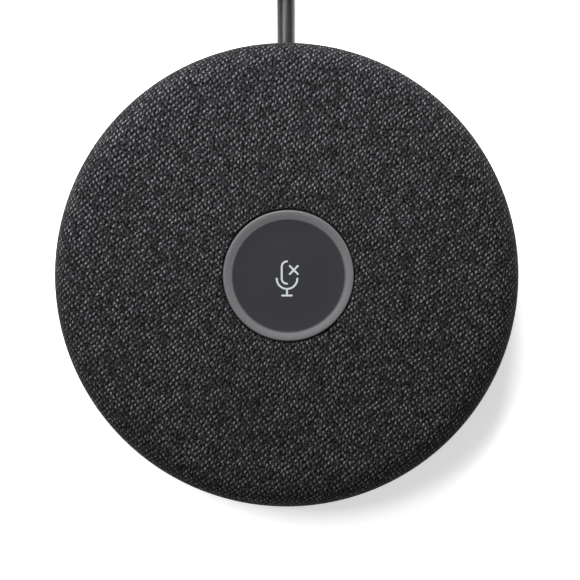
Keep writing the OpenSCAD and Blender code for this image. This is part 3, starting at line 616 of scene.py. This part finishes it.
def turned(name, outline, sides=96, capped=False, ring=True):
    """A piece turned about Z from (radius, height) points in millimetres.

    A ring's outline closes on itself; a capped piece has a flat face at each end.
    """
    radius, height = outline[0]
    bpy.ops.mesh.primitive_circle_add(vertices=sides, radius=radius * MM, location=(0, 0, height * MM),
                                      fill_type="NGON" if capped else "NOTHING")
    piece = bpy.context.object
    piece.name = piece.data.name = name
    bpy.ops.object.transform_apply(location=True, rotation=True, scale=True)
    bpy.ops.object.mode_set(mode="EDIT")
    closing = outline[:1] if ring and not capped else []
    for next_radius, next_height in outline[1:] + closing:
        bpy.ops.mesh.extrude_region_move(
            TRANSFORM_OT_translate={"value": (0, 0, (next_height - height) * MM)})
        share = next_radius / radius
        bpy.ops.transform.resize(value=(share, share, 1), center_override=(0, 0, 0))
        radius, height = next_radius, next_height
    bpy.ops.object.mode_set(mode="OBJECT")
    finish_mesh(piece)
    return piece


def bend(centre, radius, start, end, steps):
    """Points of an arc, in degrees, for an outline."""
    angles = [math.radians(start + (end - start) * i / steps) for i in range(steps + 1)]
    return [(centre[0] + radius * math.cos(a), centre[1] + radius * math.sin(a)) for a in angles]


def cut(piece, tool):
    """Cuts the tool out of the piece and takes the tool away."""
    only(piece)
    cutter = piece.modifiers.new("cut", "BOOLEAN")
    cutter.operation = "DIFFERENCE"
    cutter.solver = "EXACT"
    cutter.object = tool
    bpy.ops.object.modifier_apply(modifier=cutter.name)
    bpy.data.objects.remove(tool)
    bpy.ops.object.shade_smooth_by_angle(angle=SMOOTH)


def smooth_copy(node, name):
    """A CAD node's shape as a new piece, shaded smooth over its round stretches."""
    piece = bpy.data.objects.new(name, frame["nodes"][node].data.copy())
    piece.data.name = name
    bpy.context.scene.collection.objects.link(piece)
    only(piece)
    bpy.ops.mesh.customdata_custom_splitnormals_clear()
    finish_mesh(piece)
    return piece


def lay_on_plug(piece):
    """Turns a piece made about Z to lie along the plug's axis, from the end of the cable."""
    only(piece)
    piece.rotation_euler = (math.radians(-90), 0, 0)
    piece.location = Vector((PLUG_X, PLUG_Y, PLUG_Z)) * MM
    bpy.ops.object.transform_apply(location=True, rotation=True, scale=True)


def fit(piece, body, slot, *nodes):
    """Gives a piece its body and its finish, and hides the CAD nodes that it stands for."""
    piece.data.materials.clear()
    piece.data.materials.append(FINISHES[slot])
    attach(piece, body)
    if nodes:
        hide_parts(*nodes)
    return piece


# ---------------------------------------------------------------- woven cover

def crown_arc():
    """Radius and middle height of the crown's long arc, which meets the rim's arc smoothly."""
    edge_c = POD_R - EDGE_R
    crown = RING_TOP - CROWN - EDGE_Z
    radius = (edge_c ** 2 + crown ** 2 - EDGE_R ** 2) / (2 * (crown - EDGE_R))
    return radius, RING_TOP - CROWN - radius


def cover_outline():
    """Outside of the cloth: up out of the key's gap, over the crown, round the rim and in under it."""
    dome_r, dome_c = crown_arc()
    edge_c = POD_R - EDGE_R
    opening = RING_R + RING_GAP
    crown_at = dome_c + math.sqrt(dome_r ** 2 - (opening + ROLL) ** 2)
    dome_start = math.degrees(math.acos((opening + ROLL) / dome_r))
    dome_end = 90 - math.degrees(math.asin(edge_c / (dome_r - EDGE_R)))
    hem_z = cover_low.z
    rim_end = -math.degrees(math.asin((EDGE_Z - hem_z) / EDGE_R))
    return (
        [(opening, well_high.z), (opening, (well_high.z + crown_at) / 2)]
        + bend((opening + ROLL, crown_at - ROLL), ROLL, 180, 98, 6)
        + bend((0, dome_c), dome_r, dome_start, dome_end, 24)[1:]
        + bend((edge_c, EDGE_Z), EDGE_R, dome_end, rim_end, 30)[1:]
        + [(POD_R - 2.2, hem_z), (POD_R - HEM_IN, hem_z)]
    )


def weave_map(piece, outline):
    """Lays the flat cloth on the cover: a point's distance from the middle is its way along the outline."""
    ways = [outline[0][0]]
    for a, b in zip(outline, outline[1:]):
        ways.append(ways[-1] + math.dist(a, b))

    def way(radius, height):
        best = (1e9, 0)
        for a, b, start, end in zip(outline, outline[1:], ways, ways[1:]):
            length = math.dist(a, b)
            share = ((radius - a[0]) * (b[0] - a[0]) + (height - a[1]) * (b[1] - a[1])) / length ** 2
            share = min(1, max(0, share))
            near = math.dist((radius, height), (a[0] + share * (b[0] - a[0]), a[1] + share * (b[1] - a[1])))
            best = min(best, (near, start + share * (end - start)))
        return best[1]

    places = []
    known = {}
    for v in piece.data.vertices:
        radius = math.hypot(v.co.x, v.co.y) / MM
        key = (round(radius, 2), round(v.co.z / MM, 2))
        if key not in known:
            known[key] = way(*key)
        places.append((v.co.x / MM / radius * known[key], v.co.y / MM / radius * known[key]))
    layer = piece.data.uv_layers.new(name="weave")
    for loop in piece.data.loops:
        layer.data[loop.index].uv = places[loop.vertex_index]


GATHERS = 72                 # small folds where the cloth turns under the rim
GATHER_H = 0.16
GATHER_DROP = 1              # how far below the widest point they start
GATHER_DRIFT = 1.7           # how unevenly they are spaced, in five waves round the rim


def woven_cover():
    """Cloth drawn tight over the shell, with small gathers where it turns under the rim."""
    outline = cover_outline()
    cover = turned("woven_cover", outline, sides=288, ring=False)
    weave_map(cover, outline)
    start = EDGE_Z - GATHER_DROP
    for v in cover.data.vertices:
        share = smooth((start - v.co.z / MM) / (start - cover_low.z))
        if share > 0 and math.hypot(v.co.x, v.co.y) > (POD_R - EDGE_R) * MM:
            angle = math.atan2(v.co.y, v.co.x)
            fold = math.sin(GATHERS * angle + GATHER_DRIFT * math.sin(5 * angle)) * 0.5 + 0.5
            out = 1 + GATHER_H * MM * share * fold / math.hypot(v.co.x, v.co.y)
            v.co.x *= out
            v.co.y *= out
    only(cover)
    wall = cover.modifiers.new("cloth", "SOLIDIFY")
    wall.thickness = CLOTH_T * MM
    wall.offset = -1
    bpy.ops.object.modifier_apply(modifier=wall.name)
    bpy.ops.object.shade_smooth_by_angle(angle=math.radians(60))
    return cover


cover = fit(woven_cover(), "pod", "melange_cloth", "fabric_cover")


# ---------------------------------------------------------------- mute key

def key_disc():
    """Dished disc with a softened edge, and a recess that the inlay fills."""
    top = disc_high.z
    outline = (
        [(DISC_R, disc_low.z), (DISC_R, top)]
        + [(DISC_R - DISH_W * i / DISH_STEPS, top - DISH * (1 - (1 - i / DISH_STEPS) ** 2))
           for i in range(1, DISH_STEPS + 1)]
        + [(DISC_R - DISH_W - 0.3, top - DISH), (DISC_R - DISH_W - 1, top - DISH)]
    )
    flat = (top - DISH) * MM
    disc = turned("key_disc", outline, sides=128, capped=True)
    cut(disc, smooth_copy("mute_icon", "symbol_recess"))
    for face in disc.data.polygons:
        face.use_smooth = face.use_smooth and abs(face.center.z - flat) > 1e-6
    return disc


def frosted_ring():
    """Light guide that rises gently from the disc to its crown and is rounded at its outer edge."""
    low = disc_high.z
    outer = 0.3              # rounding of its outer edge
    flange = RING_R - 0.15
    outline = [(DISC_R, ring_low.z), (flange, ring_low.z), (flange, low - 1.2), (RING_R, low - 1)]
    outline += bend((RING_R - outer, RING_TOP - outer), outer, 0, 90, 6)
    outline += [(DISC_R + 0.7, low + (RING_TOP - low) * 0.62), (DISC_R, low)]
    return turned("frosted_ring", outline, sides=160)


def return_dome():
    """Silicone dome under the key, which flattens as the key goes down in the real pod; this copy keeps its
    shape.
    """
    dome = fit(smooth_copy("key_dome", "return_dome"), "pod", "dome_silicone", "key_dome")
    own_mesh(dome)


return_dome()
fit(key_disc(), "mute_key", "key_satin", "key_cap")
fit(frosted_ring(), "mute_key", "ring_frosted", "light_ring")


# ---------------------------------------------------------------- base and foot

fit(smooth_copy("base_shell", "moulded_base"), "pod", "black_abs", "base_shell")


FOOT_GROOVES = 5


def rubber_foot():
    """Flat rubber ring with softened edges and fine grooves that grip the table."""
    outer = foot_high.x
    inner = outer - FOOT_W
    edge = 0.45
    groove_w = 0.5
    groove_h = 0.35
    outline = [(outer, foot_high.z)] + bend((outer - edge, edge), edge, 0, -90, 5)
    for i in range(FOOT_GROOVES):
        middle = outer - FOOT_W * (i + 1) / (FOOT_GROOVES + 1)
        outline += [
            (middle + groove_w / 2, 0), (middle + groove_w / 4, groove_h),
            (middle - groove_w / 4, groove_h), (middle - groove_w / 2, 0),
        ]
    outline += bend((inner + edge, edge), edge, -90, -180, 5) + [(inner, foot_high.z)]
    return turned("rubber_foot", outline, sides=160)


fit(rubber_foot(), "pod", "silicone_rubber", "foot_ring")


# ---------------------------------------------------------------- straps on the coil

LAP = 12                     # free end of a strap
LAP_W = STRAP_W - 0.6


def strap():
    """A tape round the coil's section at its right-hand side, its free end lapped over the top."""
    width = COIL_OUT - COIL_IN + CORD_D
    height = coil_high.z - coil_low.z
    bpy.ops.mesh.primitive_plane_add(size=1, rotation=(math.radians(90), 0, 0),
                                     location=((COIL_OUT + COIL_IN) / 2 * MM, -STRAP_W / 2 * MM,
                                               (coil_low.z + height / 2) * MM))
    tape = bpy.context.object
    tape.scale = (width * MM, height * MM, 1)
    bpy.ops.object.transform_apply(location=True, rotation=True, scale=True)
    bpy.ops.object.mode_set(mode="EDIT")
    bpy.ops.mesh.bevel(offset=CORD_R * MM, segments=6, affect="VERTICES")
    bpy.ops.mesh.delete(type="ONLY_FACE")
    bpy.ops.mesh.select_all(action="SELECT")
    bpy.ops.mesh.extrude_region_move(TRANSFORM_OT_translate={"value": (0, STRAP_W * MM, 0)})
    bpy.ops.mesh.select_all(action="SELECT")
    bpy.ops.mesh.normals_make_consistent(inside=False)
    bpy.ops.object.mode_set(mode="OBJECT")
    wall = tape.modifiers.new("tape", "SOLIDIFY")
    wall.thickness = STRAP_T * MM
    wall.offset = 1
    bpy.ops.object.modifier_apply(modifier=wall.name)
    bpy.ops.mesh.primitive_cube_add(size=1, location=((COIL_OUT - LAP / 2) * MM, 0,
                                                      (coil_high.z + STRAP_T * 1.5) * MM))
    end = bpy.context.object
    end.scale = (LAP * MM, LAP_W * MM, STRAP_T * MM)
    bpy.ops.object.transform_apply(location=True, rotation=True, scale=True)
    corner = end.modifiers.new("corner", "BEVEL")
    corner.width = 0.3 * MM
    corner.segments = 3
    bpy.ops.object.modifier_apply(modifier=corner.name)
    tape.select_set(True)
    bpy.context.view_layer.objects.active = tape
    bpy.ops.object.join()
    only(tape)
    return tape


def straps_on_coil():
    """The strap copied to each place round the coil, each copy with its own mesh."""
    pattern = strap()
    placed = []
    for number, angle in enumerate(STRAP_ANGLES, 1):
        tape = bpy.data.objects.new(f"cable_strap_{number}", pattern.data.copy())
        tape.data.name = tape.name
        bpy.context.scene.collection.objects.link(tape)
        only(tape)
        tape.rotation_euler = (0, 0, math.radians(angle))
        tape.location = Vector((COIL_C.x, COIL_C.y, 0)) * MM
        bpy.ops.object.transform_apply(location=True, rotation=True, scale=True)
        bpy.ops.object.shade_smooth_by_angle(angle=SMOOTH)
        placed.append(fit(tape, "pod", "strap_nylon"))
    bpy.data.objects.remove(pattern)
    return placed


straps = straps_on_coil()
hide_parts("cable_ties")


# ---------------------------------------------------------------- plug

RIBS = 4
RIB_STEP = 3
RIB_W = 1.6
RIB_ROUND = 0.35
RIB_GROWTH = 0.45            # each rib's radius over the one before, towards the plug


def bend_relief():
    """Tapered rubber sleeve whose ribs let it bend in a wide curve."""
    bore = CORD_R + 0.05
    start = CORD_R + 0.7
    end = PLUG_R - 2.2
    outline = [(bore, 1.5), (bore, 0.1), (start - 0.3, 0)]
    outline += bend((start - 0.3, 0.3), 0.3, -60, 0, 3)
    for i in range(RIBS):
        low = RIB_STEP * (i + 1)
        neck = start + (end - start) * low / RELIEF_L
        rib = CORD_R + 1.4 + RIB_GROWTH * i
        outline += [(neck, low - 0.15), (neck + 0.12, low)]
        outline += bend((rib - RIB_ROUND, low + RIB_ROUND), RIB_ROUND, -90, 0, 4)
        outline += bend((rib - RIB_ROUND, low + RIB_W - RIB_ROUND), RIB_ROUND, 0, 90, 4)
        outline += [(neck + 0.2, low + RIB_W), (neck + 0.12, low + RIB_W + 0.15)]
    outline += [(end, RELIEF_L), (bore, RELIEF_L)]
    piece = turned("bend_relief", outline, sides=64)
    lay_on_plug(piece)
    return piece


GRIP_GROOVES = 3
GRIP_STEP = 1.1
GRIP_DEPTH = 0.3
BARREL_BORE = 2.5            # its radius


def plug_body():
    """Turned barrel with a rounded shoulder, fine grip grooves and the collar's sleeve."""
    back = RELIEF_L
    front = RELIEF_L + BARREL_L
    outline = [(BARREL_BORE, back), (PLUG_R - 1.2, back)]
    outline += bend((PLUG_R - 0.9, back + 0.9), 0.9, -70, 0, 6)
    for i in range(GRIP_GROOVES):
        low = back + 2.6 + GRIP_STEP * i
        bottom = PLUG_R - GRIP_DEPTH
        outline += [(PLUG_R, low), (bottom, low + 0.15), (bottom, low + 0.4), (PLUG_R, low + 0.55)]
    outline += bend((PLUG_R - 0.25, front - 0.25), 0.25, 0, 90, 4)
    outline += [
        (SLEEVE_R, front), (SLEEVE_R, front + SLEEVE_L - 0.2), (SLEEVE_R - 0.2, front + SLEEVE_L),
        (ROOT_R, front + SLEEVE_L), (ROOT_R, front - 1), (BARREL_BORE, front - 1),
    ]
    piece = turned("plug_body", outline, sides=128)
    lay_on_plug(piece)
    return piece


FLUTES = 24
FLUTE_SIDES = 8              # faces round the collar for each flute and the land beside it
FLUTE_DEPTH = 0.28
GROOVE_DEPTH = 0.25          # groove behind the grip


def release_collar():
    """Knurled collar: a turned ring with flutes sunk into its grip."""
    back = collar_low.y - PLUG_Y
    front = collar_high.y - PLUG_Y
    inside = SLEEVE_R + 0.08
    outline = (
        [(inside, back + 0.15), (inside + 0.15, back)]
        + bend((PLUG_R - 0.3, back + 0.3), 0.3, -90, 0, 4)
        + [(PLUG_R, back + 0.9), (PLUG_R - GROOVE_DEPTH, back + 1)]
        + [(PLUG_R - GROOVE_DEPTH, back + 1.25), (PLUG_R, back + 1.35)]
        + [(PLUG_R, front - 1.1)]
        + bend((PLUG_R - 0.3, front - 0.3), 0.3, 0, 90, 4)
        + [(inside + 0.15, front), (inside, front - 0.15)]
    )
    piece = turned("release_collar", outline, sides=FLUTES * FLUTE_SIDES)
    grip = (back + front + 0.25) / 2 * MM
    for face in piece.data.polygons:
        step = math.degrees(math.atan2(face.center.y, face.center.x)) % (360 / FLUTES)
        on_grip = abs(face.center.z - grip) < 0.4 * MM and math.hypot(*face.center.xy) > (PLUG_R - 0.1) * MM
        face.select = on_grip and step < 360 / FLUTES / 2
    for kind in (piece.data.vertices, piece.data.edges):
        kind.foreach_set("select", [False] * len(kind))
    only(piece)
    bpy.ops.object.mode_set(mode="EDIT")
    bpy.ops.mesh.select_mode(type="FACE")
    bpy.ops.mesh.inset(thickness=0.12 * MM, depth=-FLUTE_DEPTH * MM)
    bpy.ops.mesh.select_mode(type="VERT")
    bpy.ops.object.mode_set(mode="OBJECT")
    finish_mesh(piece)
    lay_on_plug(piece)
    return piece


NOSE_WALL = 0.6
KEY_SLOT = (1.2, 0.7, 6)     # across, deep and along


def plug_nose():
    """Thin nickel shell with a lead-in chamfer, and a key slot along its top."""
    base = RELIEF_L + BARREL_L
    root = base + SLEEVE_L
    tip = nose_high.y - PLUG_Y
    inside = NOSE_R - NOSE_WALL
    outline = [
        (inside, base - 1), (ROOT_R, base - 1), (ROOT_R, root - 0.05), (NOSE_R, root + 0.05),
        (NOSE_R, tip - 0.5), (NOSE_R - 0.12, tip - 0.2), (NOSE_R - 0.3, tip),
        (inside + 0.08, tip), (inside, tip - 0.1),
    ]
    piece = turned("plug_shell", outline, sides=128)
    bpy.ops.mesh.primitive_cube_add(size=1, location=(0, -NOSE_R * MM, (tip - 2.5) * MM))
    slot = bpy.context.object
    slot.scale = Vector(KEY_SLOT) * MM
    bpy.ops.object.transform_apply(location=True, rotation=True, scale=True)
    cut(piece, slot)
    lay_on_plug(piece)
    return piece


plug_pieces = [
    fit(bend_relief(), "pod", "silicone_rubber", "plug_relief"),
    fit(plug_body(), "pod", "plug_black_metal", "plug_barrel"),
    fit(plug_nose(), "pod", "plug_nickel", "plug_nose"),
    fit(release_collar(), "release_collar", "release_nickel", "release_ring"),
    frame["nodes"]["plug_insert"],
    frame["nodes"]["plug_contacts"],
]

fit(cable, "pod", "cable_jacket", "cable_lead", "cable_coil", "cable_tail")


# ---------------------------------------------------------------- finishes of the CAD nodes

for subpart in frame["record"]["subparts"]:
    node = frame["nodes"][subpart["node"]]
    for place in node.material_slots:
        place.material = FINISHES[subpart["material_slot"]]


# ---------------------------------------------------------------- studio

def soft_light(name, place, size, watts):
    """A square white soft box that faces the middle of the pod; place and size in millimetres."""
    lamp = bpy.data.lights.new(name, "AREA")
    lamp.size = size * MM
    lamp.energy = watts
    box = bpy.data.objects.new(name, lamp)
    bpy.context.scene.collection.objects.link(box)
    box.matrix_world = looking(Vector(place), Vector((0, 0, 10)), Vector((0, 1, 0.01)))


def studio():
    """Pale floor under even white light, with the main soft box beyond the cable and to the left."""
    bpy.ops.mesh.primitive_plane_add(size=6)
    floor = bpy.context.object
    floor.name = "floor"
    # opal sheet, lit from below so that shadows on it stay faint
    floor.data.materials.append(moulded("opal_light_table", "#f2f2f1", 0.9, 1.5, 0.01, 0.005, {
        "Emission Color": (1, 1, 1, 1), "Emission Strength": 0.5,
    }))
    world = bpy.data.worlds.new("studio")
    world.use_nodes = True
    sky = world.node_tree.nodes["Background"]
    sky.inputs["Color"].default_value = (1, 1, 1, 1)
    sky.inputs["Strength"].default_value = 0.26
    bpy.context.scene.world = world
    bpy.context.scene.view_settings.view_transform = "Standard"
    soft_light("main_box", (-60, 270, 190), 260, 3.3)
    soft_light("side_box", (-235, 70, 420), 130, 1.15)


studio()
